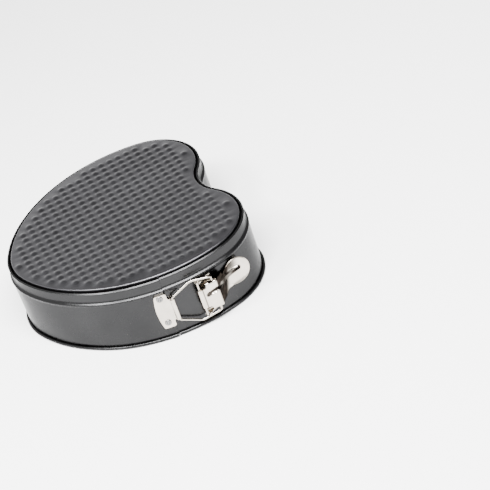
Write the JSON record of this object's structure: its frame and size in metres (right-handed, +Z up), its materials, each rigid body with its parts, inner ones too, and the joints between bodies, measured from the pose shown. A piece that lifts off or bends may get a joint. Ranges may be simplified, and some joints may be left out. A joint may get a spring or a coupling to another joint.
{
  "type": "springform pan",
  "caption": "Heart-shaped springform cake pan lying upside down: coated band with rolled rim, loose dimpled base plate, and an over-centre latch with bail wire and thumb lever.",
  "frame": {"origin": "centre of the outside box, on the plane of the rolled rim that the pan lies on", "axes": "+Z up, out of the underside of the base; +X along the heart's axis from the tip to the notch; -Y towards the side with the latch"},
  "size_m": [0.2244, 0.251, 0.068],
  "materials": {
    "band_coating": "satin dark grey non-stick coating, faintly metallic",
    "base_coating": "satin dark grey non-stick coating on a dimpled plate",
    "latch_nickel": "bright nickel-plated spring steel, lightly worn"
  },
  "bodies": {
    "band": {"band": "band_coating", "anchor_plate": "latch_nickel", "anchor_rivets": "latch_nickel"},
    "latch_end": {"hinge_bracket": "latch_nickel", "bracket_rivets": "latch_nickel", "hinge_pin": "latch_nickel"},
    "lever": {"lever": "latch_nickel"},
    "bail": {"bail_wire": "latch_nickel"},
    "base": {"base_plate": "base_coating"}
  },
  "joints": [
    {"name": "band_spread", "type": "hinge", "parent": "band", "child": "latch_end", "pos_m": [0.02849, 0.12275, 0], "axis": [0, 0, 1], "range_deg": [0, 2.37], "deforming": ["band"]},
    {"name": "lever_swing", "type": "hinge", "parent": "latch_end", "child": "lever", "pos_m": [0.0318, -0.12216, 0.031], "axis": [0, 0, -1], "range_deg": [0, 90]},
    {"name": "bail_swing", "type": "hinge", "parent": "band", "child": "bail", "pos_m": [0.0062, -0.11767, 0.031], "axis": [0, 0, -1], "range_deg": [0, 19]},
    {"name": "base_lift", "type": "slide", "parent": "band", "child": "base", "axis": [0, 0, 1], "range_m": [0, 0.08]}
  ],
  "couplings": [
    {"joint": "band_spread", "follows": "lever_swing", "ratio": 0.02617},
    {"joint": "bail_swing", "follows": "lever_swing", "ratio": 0.21007}
  ]
}
